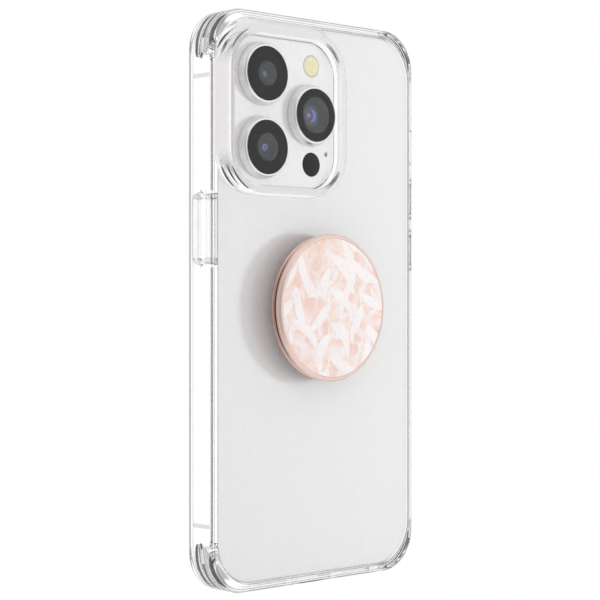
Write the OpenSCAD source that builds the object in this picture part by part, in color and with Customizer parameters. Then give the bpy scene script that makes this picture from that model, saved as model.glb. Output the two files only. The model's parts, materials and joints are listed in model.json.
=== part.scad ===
// A phone in a clear case with a round collapsible grip on its back.
// It stands upright: the screen faces -Y, the back +Y, and the power key is on the +X side.
// The origin is where the axis of the grip meets the outer face of the case back.

/* [Phone] */
// Width of the phone
phone_w = 71.5; // [71:0.1:72.5]
// Height of the phone
phone_h = 147.5; // [147:0.1:149]
// Thickness over both glasses
phone_t = 7.85; // [7.8:0.05:8.2]
// Radius of the phone's corners
phone_r = 12; // [11.5:0.1:12.5]
// Thickness of the front and rear glass
glass_t = 0.8; // [0.7:0.05:0.8]
// Wall of the metal side band
band_wall = 1.6; // [1.5:0.05:1.7]
// Depth of the side band, front to back
band_depth = 7.2; // [7.1:0.05:7.3]
// Distance of the band's insulating breaks from the middle of the phone
break_z = 58; // [57:0.5:60]
// Height of one insulating break
break_h = 1.15; // [0.8:0.05:1.5]

/* [Cameras] */
// Width of the raised camera plateau
plateau_w = 38.1; // [37.8:0.1:38.3]
// Height of the raised camera plateau
plateau_h = 39.1; // [38.8:0.1:39.3]
// How far the plateau stands above the rear glass
plateau_t = 1.7; // [1.5:0.1:1.9]
// How far the lens rings stand above the rear glass
lens_top = 4.1; // [3.9:0.1:4.3]
// Radius of a lens ring at its foot
lens_foot_r = 8.3; // [8.1:0.1:8.5]
// Radius of a lens cover glass
lens_r = 7; // [6.9:0.05:7.1]
// Focus travel of a lens barrel
focus_travel = 0.25; // [0.2:0.01:0.3]

/* [Keys] */
// Travel of the side keys
key_travel = 0.25; // [0.2:0.01:0.25]
// Length of the power key
power_len = 17.4; // [16:0.1:18]
// Length of each volume key
volume_len = 9.8; // [9:0.1:10]
// Travel of the ring switch, across the band
switch_travel = 1.2; // [1:0.1:1.3]

/* [Case] */
// Wall of the case at its long sides
case_side = 1.95; // [1.9:0.05:2.1]
// Wall of the case at its top and bottom
case_end = 2.1; // [2:0.05:2.2]
// Thickness of the case back
case_back = 1.3; // [1.2:0.05:1.4]
// Height of the front lip over the screen glass
case_lip = 0.9; // [0.8:0.05:1]
// Rounding of the case's outer edges
case_round = 1.5; // [1.2:0.1:1.6]
// Height of the camera guard over the case back
guard_h = 3.3; // [3.1:0.1:3.5]
// Width of the camera guard's top
guard_wall = 2; // [1.8:0.1:2.2]

/* [Grip] */
// Radius of the grip's rim
grip_r = 19.75; // [19.6:0.05:20]
// Height of the folded grip over the case back
grip_h = 6; // [5.9:0.05:6.2]
// How far the grip's axis lies below the middle of the phone
grip_drop = 1.9; // [1:0.1:3]
// How far each of the three stages slides out
stage_travel = 4.6; // [4:0.1:4.6]

/* [Hidden] */
$fn = 96;

// a running or assembly gap, and the thickness of the slices that a rounded outline is drawn over
gap = 0.05;
slice = 0.02;

// the middle of the phone's thickness and height, and the outer face of the front glass
mid_y = -(phone_t / 2 + case_back);
mid_z = grip_drop;
front_y = mid_y - phone_t / 2;
bottom_z = mid_z - phone_h / 2;

// the band: its half sizes, the ledges that carry the glass, and the bay inside it
half_w = phone_w / 2;
half_h = phone_h / 2;
band_y = band_depth / 2;
ledge_y = 3;
rabbet_inset = 0.3;
glass_inset = 0.35;
bay_half_w = half_w - band_wall;
bay_half_h = half_h - band_wall;
bay_r = phone_r - band_wall;

// the case
case_w = phone_w + 2 * case_side;
case_h = phone_h + 2 * case_end;
case_r = phone_r - 1; // fuller than the phone's own corners, so the walls are thickest there
case_front_y = front_y - case_lip;
lip_cover = 0.8;

// the cameras: [x, z from the middle of the phone]
upper_lens = [21, 59.2];
middle_lens = [3.6, 49.55];
lower_lens = [21, 40];
lens_places = [upper_lens, middle_lens, lower_lens];
flash_place = [3.1, 62.9];
depth_place = [3.1, 36.5];
mic_place = [-2.4, 39.5];
sensor_z = 64;
plateau_place = [13.4, 49.6];
plateau_r = 9.3;
window_gap = 0.25;
sleeve_r = 7.3;
collar_r = 5.8;
barrel_r = 4.6;
flash_r = 2.9;
depth_r = 3.2;
mic_r = 0.5;
turret_r = 2.4;
turret_foot = 2.25;
housing_w = 15.6;

// the side keys: places along the side, from the middle of the phone
power_z = 18.5;
volume_up_z = 29;
volume_down_z = 14.5;
mute_z = 43.9;
key_w = 2.6;
key_inner = half_w - 1.85;
key_outer = half_w + 0.3;
cover_w = 4.4;
cover_outer = half_w + case_side + 0.45;
cover_border = 1.6;
cover_gap = 0.3;
switch_w = 2;
switch_len = 5;
switch_outer = half_w + 0.6;
finger_w = 5.4;
finger_len = 10;

// the bottom edge
port_w = 8.94;
port_h = 3.26;
port_case_w = 13.4;
port_case_h = 6.8;
sound_x = 15.8;
sound_w = 12.4;
sound_h = 3.4;
sound_r = 0.7;
sound_pitch = 2.5;
bottom_screw_x = 7.3;

// the layers inside, from the middle of the phone's thickness
oled_t = 0.725;
frame_low = 2.3;
frame_high = 2.8;
pack_half = 1.9;
board_low = 0.9;
board_high = 1.7;
can_spans = [[-54, -32], [-30, -8], [-6, 26]];
screw_head_r = 1;
screw_r = 0.55;
frame_screws = [[-31, -57.1], [0, -57.1], [31, -57.1], [-31, 37.15], [-18, 37.15], [31.5, 30.15]];

// the grip: heights over the case back
pad_h = 0.5;
floor_h = 1.2;
foot_h = 2;
flange_h = 3.1;
neck_h = 4;
plate_low_h = 5;
face_low_h = 5.6;
pad_r = 16.3;
foot_r = 16.5;
lug_r = 15.15;
bore_r = 14.6;
neck_r = 17.8;
rim_w = 1.1;
ring_top_h = 3.8;
ring_low_h = ring_top_h - stage_travel / 2 - 0.1;
web_t = 0.45;
lug_angle = 25;

// ---------- shapes ----------

// a rectangle with round corners
module round_rect(w, h, r) {
    square([w - 2 * r, h], center = true);
    square([w, h - 2 * r], center = true);
    for (x = [-1, 1], z = [-1, 1])
        translate([x * (w / 2 - r), z * (h / 2 - r)]) circle(r);
}

// a slot with round ends along its longer side
module stadium(w, h) {
    r = min(w, h) / 2;
    if (w > h) square([w - h, h], center = true);
    else square([w, h - w], center = true);
    for (end = [-1, 1]) translate(end * [w / 2 - r, h / 2 - r]) circle(r);
}

// an outline drawn in X and Z, made solid between two Y levels
module plate(low, high) {
    translate([0, high, 0]) rotate([90, 0, 0]) linear_extrude(high - low) children();
}

// the same, with Y levels from the middle of the phone's thickness, centred on the phone
module layer(low, high) {
    translate([0, 0, mid_z]) plate(mid_y + low, mid_y + high) children();
}

// a round-cornered plate centred on the phone
module phone_plate(w, h, r, low, high) {
    layer(low, high) round_rect(w, h, r);
}

// a box in the phone, from its corners [x, y, z] from the middle of the phone
module phone_box(low, high) {
    translate([0, mid_y, mid_z] + low) cube(high - low);
}

// an outline drawn in Y and Z, made solid between two distances from the middle of the phone's width
module side_bar(side, inner, outer) {
    translate([side > 0 ? inner : -outer, mid_y, mid_z]) rotate([90, 0, 90])
        linear_extrude(outer - inner) children();
}

// an outline drawn in X and Y, made solid up from the phone's bottom edge
module bottom_post(low, high) {
    translate([0, mid_y, bottom_z + low]) linear_extrude(high - low) children();
}

// a profile of [radius, height along +Y] turned about the Y axis
module turned(profile) {
    rotate([-90, 0, 0]) rotate_extrude() polygon(profile);
}

// the same, about a place on the phone's back, with heights from the middle of its thickness
module turned_at(place, profile) {
    translate([place[0], mid_y, mid_z + place[1]]) turned(profile);
}

module round_hole(place, r, low, high) {
    layer(low, high) translate(place) circle(r);
}

// ---------- the case ----------

module case_outer_shape() {
    hull() for (front = [false, true], a = [0, 30, 60, 90]) {
        inset = case_round * (1 - sin(a));
        depth = case_round * (1 - cos(a));
        low = front ? case_front_y + depth : -depth - slice;
        translate([0, 0, mid_z]) plate(low, low + slice)
            round_rect(case_w - 2 * inset, case_h - 2 * inset, case_r - inset, $fn = 32);
    }
}

module camera_window(low, high) {
    layer(low, high) translate(plateau_place)
        round_rect(plateau_w + 2 * window_gap, plateau_h + 2 * window_gap, plateau_r + window_gap);
}

// two grooves round each corner of the bumper's inner wall, which cushion a fall
module corner_channels() {
    channel_r = phone_r + 1.1;
    for (x = [-1, 1], z = [-1, 1], span = [[-1.9, 0.3], [0.9, 2.5]])
        layer(span[0], span[1]) translate([x * (half_w - phone_r), z * (half_h - phone_r)])
            intersection() {
                circle(channel_r);
                translate(channel_r * [x / 2, z / 2]) square(channel_r, center = true);
            }
}

module key_window(side, z, len) {
    side_bar(side, half_w - 1, half_w + case_side + 1) translate([0, z])
        stadium(cover_w + 2 * cover_gap, len + 2 * cover_gap);
}

module case_bumper() {
    color([0.93, 0.95, 0.97, 0.5]) difference() {
        case_outer_shape();
        phone_plate(phone_w + 2 * gap, phone_h + 2 * gap, phone_r + gap, -phone_t / 2, phone_t);
        phone_plate(phone_w - 2 * lip_cover, phone_h - 2 * lip_cover, phone_r - lip_cover,
                    -phone_t, 0);
        corner_channels();
        key_window(1, power_z, power_len + cover_border);
        key_window(-1, volume_up_z, volume_len + cover_border);
        key_window(-1, volume_down_z, volume_len + cover_border);
        side_bar(-1, half_w - 1, half_w + case_side + 1) translate([0, mute_z])
            stadium(finger_w, finger_len);
        bottom_post(-case_end - 1, 1) stadium(port_case_w, port_case_h);
        for (side = [-1, 1])
            bottom_post(-case_end - 1, 1) translate([side * sound_x, 0]) stadium(sound_w, sound_h);
    }
}

module case_back_panel() {
    color([0.95, 0.96, 0.97, 0.4]) difference() {
        phone_plate(phone_w + 2 * gap, phone_h + 2 * gap, phone_r + gap,
                    phone_t / 2, phone_t / 2 + case_back);
        camera_window(0, phone_t);
    }
}

// a raised frame round the camera window, whose foot spreads outward on each side
module case_camera_guard() {
    window_w = plateau_w + 2 * window_gap;
    window_h = plateau_h + 2 * window_gap;
    top_r = plateau_r + window_gap + guard_wall;
    foot_x = [0.5, 1.6];
    foot_z = [0.5, 2.5];
    base_w = window_w + 2 * guard_wall + foot_x[0] + foot_x[1];
    base_h = window_h + 2 * guard_wall + foot_z[0] + foot_z[1];
    base_shift = [foot_x[1] - foot_x[0], foot_z[1] - foot_z[0]] / 2;
    back = phone_t / 2 + case_back;
    color([0.93, 0.95, 0.97, 0.5]) difference() {
        hull() {
            layer(back, back + slice) translate(plateau_place + base_shift)
                round_rect(base_w, base_h, top_r, $fn = 32);
            layer(back + guard_h - slice, back + guard_h) translate(plateau_place)
                round_rect(window_w + 2 * guard_wall, window_h + 2 * guard_wall, top_r, $fn = 32);
        }
        camera_window(0, phone_t + 2 * guard_h);
    }
}

module key_cover(side, z, len) {
    color([0.93, 0.95, 0.97, 0.5]) side_bar(side, key_outer, cover_outer) translate([0, z])
        stadium(cover_w, len);
}

module case_power_cover() key_cover(1, power_z, power_len + cover_border);
module case_volume_up_cover() key_cover(-1, volume_up_z, volume_len + cover_border);
module case_volume_down_cover() key_cover(-1, volume_down_z, volume_len + cover_border);

// ---------- the grip ----------

module grip_adhesive_pad() {
    color("whitesmoke") turned([[0, 0], [pad_r, 0], [pad_r, pad_h], [0, pad_h]]);
}

module grip_base() {
    wall_r = lug_r + 0.1;
    color("whitesmoke") turned([
        [0, pad_h], [foot_r, pad_h], [foot_r, foot_h],
        [wall_r, foot_h], [wall_r, floor_h], [0, floor_h]
    ]);
}

// a wedge about the grip's axis, used for the bayonet's lugs and entry notches
module wedge(middle, half_angle, r, low, high) {
    plate(low, high) polygon([
        [0, 0],
        r * 1.2 * [cos(middle - half_angle), sin(middle - half_angle)],
        r * 1.4 * [cos(middle), sin(middle)],
        r * 1.2 * [cos(middle + half_angle), sin(middle + half_angle)]
    ]);
}

module grip_base_ring() {
    ring_r = grip_r - 0.35;
    color([0.90, 0.69, 0.63]) difference() {
        turned([
            [bore_r, foot_h], [ring_r - 0.3, foot_h], [ring_r, foot_h + 0.3],
            [ring_r, flange_h - 0.3], [ring_r - 0.3, flange_h], [bore_r, flange_h]
        ]);
        for (middle = [0, 180]) intersection() {
            wedge(middle, lug_angle + 3, lug_r, foot_h - 1, flange_h + 1);
            turned([[0, 0], [lug_r + 0.1, 0], [lug_r + 0.1, neck_h], [0, neck_h]]);
        }
    }
}

module grip_bayonet_foot() {
    low = floor_h + gap;
    high = foot_h - gap;
    inner_r = bore_r - 1.1;
    outer_r = bore_r - 0.1;
    color("whitesmoke") {
        turned([[inner_r, low], [outer_r, low], [outer_r, high], [inner_r, high]]);
        for (middle = [90, 270]) intersection() {
            wedge(middle, lug_angle, lug_r, low, high);
            turned([[outer_r, low], [lug_r, low], [lug_r, high], [outer_r, high]]);
        }
    }
}

// the walls of the three telescoping stages: each ring's inner radius, outermost first
outer_wall_r = bore_r - 1;
middle_wall_r = 10.2;
inner_wall_r = 6.8;
stem_r = 4.2;
wall_t = 0.8;

module accordion_outer_ring() {
    sleeve_top = flange_h + 0.1;
    sleeve_outer = bore_r - 0.08;
    color([0.93, 0.87, 0.85]) turned([
        [outer_wall_r, foot_h - gap], [sleeve_outer, foot_h - gap], [sleeve_outer, sleeve_top],
        [neck_r, sleeve_top], [neck_r, ring_top_h], [outer_wall_r, ring_top_h]
    ]);
}

module stage_ring(r) {
    color([0.93, 0.87, 0.85]) turned([
        [r, ring_low_h], [r + wall_t, ring_low_h], [r + wall_t, ring_top_h], [r, ring_top_h]
    ]);
}

module accordion_middle_ring() stage_ring(middle_wall_r);
module accordion_inner_ring() stage_ring(inner_wall_r);

// a thin cone from the top of one ring down to the foot of the next, which flips as the stage slides out
module stage_web(outer_r, inner_r) {
    color([0.95, 0.90, 0.88]) turned([
        [outer_r - slice, ring_top_h], [outer_r - slice, ring_top_h - web_t],
        [inner_r + slice, ring_low_h], [inner_r + slice, ring_low_h + web_t]
    ]);
}

module accordion_outer_web() stage_web(outer_wall_r, middle_wall_r + wall_t);
module accordion_middle_web() stage_web(middle_wall_r, inner_wall_r + wall_t);
module accordion_inner_web() stage_web(inner_wall_r, stem_r);

module grip_platform() {
    plate_r = grip_r - rim_w - 0.65;
    bore = stem_r - 1.6;
    color("white") turned([
        [0, face_low_h], [0, plate_low_h], [bore, plate_low_h], [bore, ring_low_h],
        [stem_r, ring_low_h], [stem_r, plate_low_h], [plate_r, plate_low_h], [plate_r, face_low_h]
    ]);
}

module grip_rim() {
    inner_r = grip_r - rim_w;
    bore = inner_r - 0.6;
    color([0.90, 0.69, 0.63]) turned([
        [bore, neck_h], [grip_r - 0.5, neck_h], [grip_r, neck_h + 0.5], [grip_r, grip_h - 0.5],
        [grip_r - 0.4, grip_h], [inner_r, grip_h], [inner_r, face_low_h], [bore, face_low_h]
    ]);
}

module grip_face() {
    face_r = grip_r - rim_w - gap;
    color([0.97, 0.92, 0.91]) turned([
        [0, face_low_h], [face_r, face_low_h], [face_r, grip_h - gap], [0, grip_h - gap]
    ]);
}

// ---------- the band and the glass ----------

module band_ring() {
    rabbet_w = phone_w - 2 * rabbet_inset;
    rabbet_h = phone_h - 2 * rabbet_inset;
    difference() {
        phone_plate(phone_w, phone_h, phone_r, -band_y, band_y);
        phone_plate(2 * bay_half_w, 2 * bay_half_h, bay_r, -phone_t, phone_t);
        phone_plate(rabbet_w, rabbet_h, phone_r - rabbet_inset, -phone_t, -ledge_y);
        phone_plate(rabbet_w, rabbet_h, phone_r - rabbet_inset, ledge_y, phone_t);
    }
}

// the stretch of the band between two X and two Z values, from the middle of the phone
module band_stretch(x, z) {
    intersection() {
        band_ring();
        phone_box([x[0], -phone_t, z[0]], [x[1], phone_t, z[1]]);
    }
}

module key_slot(side, z, len) {
    side_bar(side, bay_half_w - 1, half_w + 1) translate([0, z])
        stadium(key_w + 2 * gap, len + 2 * gap);
}

side_half = break_z - break_h / 2;
band_steel = [0.88, 0.89, 0.90];

module side_band_power() {
    color(band_steel) difference() {
        band_stretch([0, phone_w], [-side_half, side_half]);
        key_slot(1, power_z, power_len);
    }
}

module side_band_volume() {
    slot_w = switch_w + switch_travel + 2 * gap;
    slot_r = switch_w / 2 + gap;
    color(band_steel) difference() {
        band_stretch([-phone_w, 0], [-side_half, side_half]);
        key_slot(-1, volume_up_z, volume_len);
        key_slot(-1, volume_down_z, volume_len);
        side_bar(-1, bay_half_w - 1, half_w + 1) translate([0, mute_z])
            round_rect(slot_w, switch_len + 2 * gap, slot_r);
    }
}

module top_band() {
    color(band_steel) band_stretch([-phone_w, phone_w], [break_z + break_h / 2, phone_h]);
}

module bottom_band() {
    screw_hole_r = 0.75;
    color(band_steel) difference() {
        band_stretch([-phone_w, phone_w], [-phone_h, -break_z - break_h / 2]);
        bottom_post(-1, 3) stadium(port_w + 2 * gap, port_h + 2 * gap);
        for (side = [-1, 1]) {
            bottom_post(-1, 3) translate([side * bottom_screw_x, 0]) circle(screw_hole_r);
            for (k = [-2:2])
                bottom_post(-1, 3) translate([side * sound_x + k * sound_pitch, 0]) circle(sound_r);
        }
    }
}

module antenna_breaks() {
    color("white") for (x = [-1, 1], z = [-1, 1])
        band_stretch([x > 0 ? 0 : -phone_w, x > 0 ? phone_w : 0],
                     [z * break_z - break_h / 2, z * break_z + break_h / 2]);
}

module midframe_plate() {
    color("silver") difference() {
        phone_plate(2 * (bay_half_w - gap), 2 * (bay_half_h - gap), bay_r - gap, frame_low, frame_high);
        for (place = lens_places)
            layer(0, phone_t) translate(place) square(housing_w + 0.2, center = true);
        round_hole(flash_place, 1.8, 0, phone_t);
        round_hole(depth_place, turret_r + 0.2, 0, phone_t);
        round_hole(mic_place, mic_r + 0.1, 0, phone_t);
        for (place = frame_screws) round_hole(place, screw_r + gap, 0, phone_t);
    }
}

module rear_glass() {
    color([0.93, 0.93, 0.93]) difference() {
        phone_plate(phone_w - 2 * glass_inset, phone_h - 2 * glass_inset, phone_r - glass_inset,
                    phone_t / 2 - glass_t, phone_t / 2);
        for (place = lens_places) round_hole(place, sleeve_r + gap, 0, phone_t);
        round_hole(flash_place, 1.8, 0, phone_t);
        round_hole(depth_place, turret_r + 0.2, 0, phone_t);
        round_hole(mic_place, mic_r + 0.1, 0, phone_t);
    }
}

module camera_plateau() {
    rear = phone_t / 2;
    color([0.95, 0.95, 0.95]) difference() {
        layer(rear, rear + plateau_t) translate(plateau_place)
            round_rect(plateau_w, plateau_h, plateau_r);
        for (place = lens_places) round_hole(place, sleeve_r + gap, 0, phone_t);
        round_hole(flash_place, flash_r + gap, 0, phone_t);
        round_hole(depth_place, depth_r + gap, 0, phone_t);
        round_hole(mic_place, mic_r + gap, 0, phone_t);
    }
}

module gasket(low, high) {
    outer_inset = 0.4;
    inner_inset = 1.25;
    difference() {
        phone_plate(phone_w - 2 * outer_inset, phone_h - 2 * outer_inset, phone_r - outer_inset,
                    low, high);
        phone_plate(phone_w - 2 * inner_inset, phone_h - 2 * inner_inset, phone_r - inner_inset,
                    low - 1, high + 1);
    }
}

module glass_gaskets() {
    inner_face = phone_t / 2 - glass_t;
    color([0.15, 0.15, 0.15]) {
        gasket(-inner_face, -ledge_y);
        gasket(ledge_y, inner_face);
    }
}

module front_glass() {
    notch = [5, 0.75];
    top = half_h - glass_inset;
    color([0.05, 0.05, 0.06]) difference() {
        phone_plate(phone_w - 2 * glass_inset, phone_h - 2 * glass_inset, phone_r - glass_inset,
                    -phone_t / 2, -phone_t / 2 + glass_t);
        phone_box([-notch[0], -phone_t, top - notch[1]], [notch[0], 0, top + 1]);
    }
}

module oled_panel() {
    inset = band_wall + 0.2;
    high = -phone_t / 2 + glass_t + oled_t;
    color([0.08, 0.08, 0.10]) difference() {
        phone_plate(phone_w - 2 * inset, phone_h - 2 * inset, phone_r - inset,
                    -phone_t / 2 + glass_t, high);
        layer(-phone_t, 0) translate([0, sensor_z]) stadium(20.5, 5.6);
    }
}

// ---------- the rear cameras and sensors ----------

// a steel ring with a sleeve through the glass and a seat for the cover glass
module lens_ring(place) {
    rear = phone_t / 2;
    foot = rear + plateau_t;
    top = rear + lens_top;
    seat = top - 0.7;
    color([0.85, 0.86, 0.88]) turned_at(place, [
        [collar_r + 0.1, frame_high + 0.15], [sleeve_r, frame_high + 0.15], [sleeve_r, foot],
        [lens_foot_r, foot], [lens_foot_r - 0.05, foot + 0.4], [lens_r + 0.75, top - 0.4],
        [lens_r + 0.45, top], [lens_r + gap, top], [lens_r + gap, seat], [collar_r + 0.1, seat]
    ]);
}

module upper_lens_ring() lens_ring(upper_lens);
module middle_lens_ring() lens_ring(middle_lens);
module lower_lens_ring() lens_ring(lower_lens);

module lens_covers() {
    top = phone_t / 2 + lens_top - 0.15;
    color([0.1, 0.1, 0.11]) for (place = lens_places)
        layer(top - 0.55, top) translate(place) circle(lens_r);
}

// a square housing in the bay, with a round collar that guides the barrel
module camera_housings() {
    bore_y = -0.9;
    collar_top = 5;
    color([0.2, 0.2, 0.22]) for (place = lens_places) difference() {
        union() {
            layer(-2, frame_high + 0.05) translate(place) square(housing_w, center = true);
            layer(frame_high, collar_top) translate(place) circle(collar_r);
        }
        round_hole(place, barrel_r + 0.3, bore_y, phone_t);
    }
}

// a barrel with a stepped mouth around its front lens
module lens_barrel(place) {
    low = -0.7;
    high = phone_t / 2 + lens_top - 0.7 - 0.2 - focus_travel;
    mouth_r = 3;
    color([0.12, 0.12, 0.13]) turned_at(place, [
        [0, low], [barrel_r, low], [barrel_r, high], [mouth_r, high], [mouth_r - 0.6, high - 0.6],
        [0, high - 0.6]
    ]);
}

module upper_lens_barrel() lens_barrel(upper_lens);
module middle_lens_barrel() lens_barrel(middle_lens);
module lower_lens_barrel() lens_barrel(lower_lens);

module sensor_window(place, r) {
    top = phone_t / 2 + plateau_t;
    layer(top - 0.6, top + gap) translate(place) circle(r);
}

module flash_window() color([0.98, 0.95, 0.75]) sensor_window(flash_place, flash_r);
module depth_sensor_window() color([0.08, 0.08, 0.09]) sensor_window(depth_place, depth_r);

module flash_led() {
    top = phone_t / 2 + plateau_t - 0.7;
    color("gold") {
        layer(1.6, turret_foot) translate(flash_place) square(5, center = true);
        layer(turret_foot, top) translate(flash_place) square(2.2, center = true);
    }
}

module depth_sensor_module() {
    top = phone_t / 2 + plateau_t - 0.7;
    color([0.2, 0.2, 0.22]) {
        layer(-1.8, turret_foot) translate(depth_place) square(6.4, center = true);
        layer(turret_foot, top) translate(depth_place) circle(turret_r);
    }
}

module microphones() {
    color([0.25, 0.25, 0.27]) {
        layer(1.2, 2.2) translate(mic_place) square([2.6, 2], center = true);
        layer(2.2, phone_t / 2 + plateau_t - 0.1) translate(mic_place) circle(mic_r - gap);
        phone_box([-13.6, -1.2, -bay_half_h + gap], [-10.4, 1.2, -bay_half_h + 1.9]);
    }
}

module front_camera_module() {
    body_y = [-2.25, 0.8];
    color([0.1, 0.1, 0.11]) {
        phone_box([-10, body_y[0], sensor_z - 3], [10, body_y[1], sensor_z + 2.8]);
        for (side = [-1, 1])
            layer(-phone_t / 2 + glass_t + gap, body_y[0]) translate([side * 6, sensor_z]) circle(1.7);
    }
}

// ---------- inside the phone ----------

module earpiece_speaker() {
    color([0.2, 0.2, 0.2]) {
        phone_box([-8, -pack_half, bay_half_h - 4.4], [8, 1.5, bay_half_h - 0.1]);
        phone_box([-4.9, -3.8, half_h - 1], [4.9, -3.3, half_h - 0.4]);
    }
}

module battery() {
    place = [-12.6, -12.35];
    size = [39.2, 87];
    color([0.13, 0.13, 0.14]) layer(-pack_half, pack_half) translate(place)
        round_rect(size[0], size[1], 2);
}

module logic_board() {
    place = [20.6, -13.85];
    size = [23.2, 84];
    color([0.1, 0.25, 0.18]) layer(board_low, board_high) translate(place)
        round_rect(size[0], size[1], 1);
}

// a thin box over the chips, open towards the board
module shield_can(z_low, z_high) {
    wall = 0.2;
    x = [10, 31];
    difference() {
        phone_box([x[0], -pack_half, z_low], [x[1], board_low, z_high]);
        phone_box([x[0] + wall, -pack_half + wall, z_low + wall], [x[1] - wall, phone_t, z_high - wall]);
    }
}

module shield_cans() {
    color("silver") for (span = can_spans) shield_can(span[0], span[1]);
}

// flex strips behind the side keys, with a dome switch for each
module button_switches() {
    flex = [half_w - 3.05, half_w - 2.85];
    dome = key_inner - key_travel - 0.1;
    color([0.85, 0.6, 0.25]) {
        side_bar(1, flex[0], flex[1]) translate([0, power_z]) square([3, 25], center = true);
        side_bar(1, flex[1], dome) translate([0, power_z]) stadium(1.8, 4);
        side_bar(-1, flex[0], flex[1]) translate([0, (volume_down_z + mute_z) / 2])
            square([3, mute_z - volume_down_z + 14], center = true);
        for (z = [volume_down_z, volume_up_z, mute_z])
            side_bar(-1, flex[1], dome) translate([0, z]) stadium(1.8, 4);
    }
}

module bottom_speaker() {
    color([0.2, 0.2, 0.2]) phone_box([8.2, -pack_half, -68.85], [29, 1.5, -58.2]);
}

haptic_x = -19;
haptic_z = -63.5;

// an open-backed tray that the haptic mass slides in
module haptic_housing() {
    half = [10, 5.35];
    wall = 1.4;
    color([0.6, 0.6, 0.62]) difference() {
        phone_box([haptic_x - half[0], -pack_half, haptic_z - half[1]],
                  [haptic_x + half[0], 1.6, haptic_z + half[1]]);
        phone_box([haptic_x - half[0] + wall, -pack_half + 0.4, haptic_z - half[1] + wall],
                  [haptic_x + half[0] - wall, 2, haptic_z + half[1] - wall]);
    }
}

module haptic_mass() {
    half = [7.8, 3.6];
    color([0.45, 0.45, 0.47])
        phone_box([haptic_x - half[0], -pack_half + 0.7, haptic_z - half[1]],
                  [haptic_x + half[0], 1.3, haptic_z + half[1]]);
}

module charging_port() {
    shell_low = band_wall + gap;
    shell_high = shell_low + 7.25;
    wall = 0.4;
    color([0.75, 0.76, 0.78]) {
        difference() {
            bottom_post(shell_low, shell_high) stadium(port_w + 2 * wall, port_h + 2 * wall);
            bottom_post(0, shell_high + 1) stadium(port_w, port_h);
        }
        bottom_post(shell_high, shell_high + 1) stadium(port_w + 2 * wall, port_h + 2 * wall);
        bottom_post(shell_low + 0.7, shell_high) square([6.7, 0.7], center = true);
    }
}

module side_key(side, z, len) {
    color(band_steel) side_bar(side, key_inner, key_outer) translate([0, z]) stadium(key_w, len);
}

module power_key() side_key(1, power_z, power_len);
module volume_up_key() side_key(-1, volume_up_z, volume_len);
module volume_down_key() side_key(-1, volume_down_z, volume_len);

module mute_switch() {
    color(band_steel) side_bar(-1, key_inner, switch_outer)
        translate([-switch_travel / 2, mute_z]) stadium(switch_w, switch_len);
}

module charging_coil() {
    color([0.8, 0.5, 0.3]) layer(frame_high + 0.02, frame_high + 0.3) difference() {
        circle(22.3);
        circle(9);
    }
}

// a ring of separate bar magnets round the coil
module magnet_ring() {
    count = 18;
    middle_r = 24.7;
    bar = [3, 0.28, 7.4];
    color([0.7, 0.7, 0.72]) for (k = [0:count - 1])
        translate([0, mid_y + frame_high + 0.02 + bar[1] / 2, mid_z])
            rotate([0, k * 360 / count, 0]) translate([middle_r, 0, 0]) cube(bar, center = true);
}

// a screw with a hex recess, its head towards the screen
module frame_screw(place) {
    head_low = 1.6;
    layer(head_low + 0.3, frame_low) translate(place) circle(screw_head_r);
    layer(head_low, head_low + 0.3) translate(place) difference() {
        circle(screw_head_r);
        circle(0.45, $fn = 6);
    }
    layer(frame_low, frame_high) translate(place) circle(screw_r);
}

module bottom_screw(x) {
    bottom_post(0.1, 0.4) translate([x, 0]) difference() {
        circle(0.7);
        circle(0.38, $fn = 6);
    }
    bottom_post(0.4, 0.9) translate([x, 0]) circle(0.7);
    bottom_post(0.9, 4.4) translate([x, 0]) circle(0.45);
}

module screws() {
    color("silver") {
        for (place = frame_screws) frame_screw(place);
        for (side = [-1, 1]) bottom_screw(side * bottom_screw_x);
    }
}

case_back_panel();
case_bumper();
case_camera_guard();
case_power_cover();
case_volume_up_cover();
case_volume_down_cover();
grip_adhesive_pad();
grip_base();
grip_base_ring();
grip_bayonet_foot();
accordion_outer_ring();
accordion_outer_web();
accordion_middle_ring();
accordion_middle_web();
accordion_inner_ring();
accordion_inner_web();
grip_platform();
grip_rim();
grip_face();
side_band_power();
side_band_volume();
top_band();
bottom_band();
antenna_breaks();
midframe_plate();
rear_glass();
glass_gaskets();
camera_plateau();
upper_lens_ring();
middle_lens_ring();
lower_lens_ring();
lens_covers();
camera_housings();
upper_lens_barrel();
middle_lens_barrel();
lower_lens_barrel();
flash_window();
flash_led();
depth_sensor_window();
depth_sensor_module();
microphones();
front_glass();
oled_panel();
front_camera_module();
earpiece_speaker();
battery();
logic_board();
shield_cans();
button_switches();
bottom_speaker();
haptic_housing();
haptic_mass();
charging_port();
power_key();
volume_up_key();
volume_down_key();
mute_switch();
charging_coil();
magnet_ring();
screws();
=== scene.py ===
"""A phone in a clear case with a round folding grip: its visible pieces and looks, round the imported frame."""

import json
import math
import random

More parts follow.
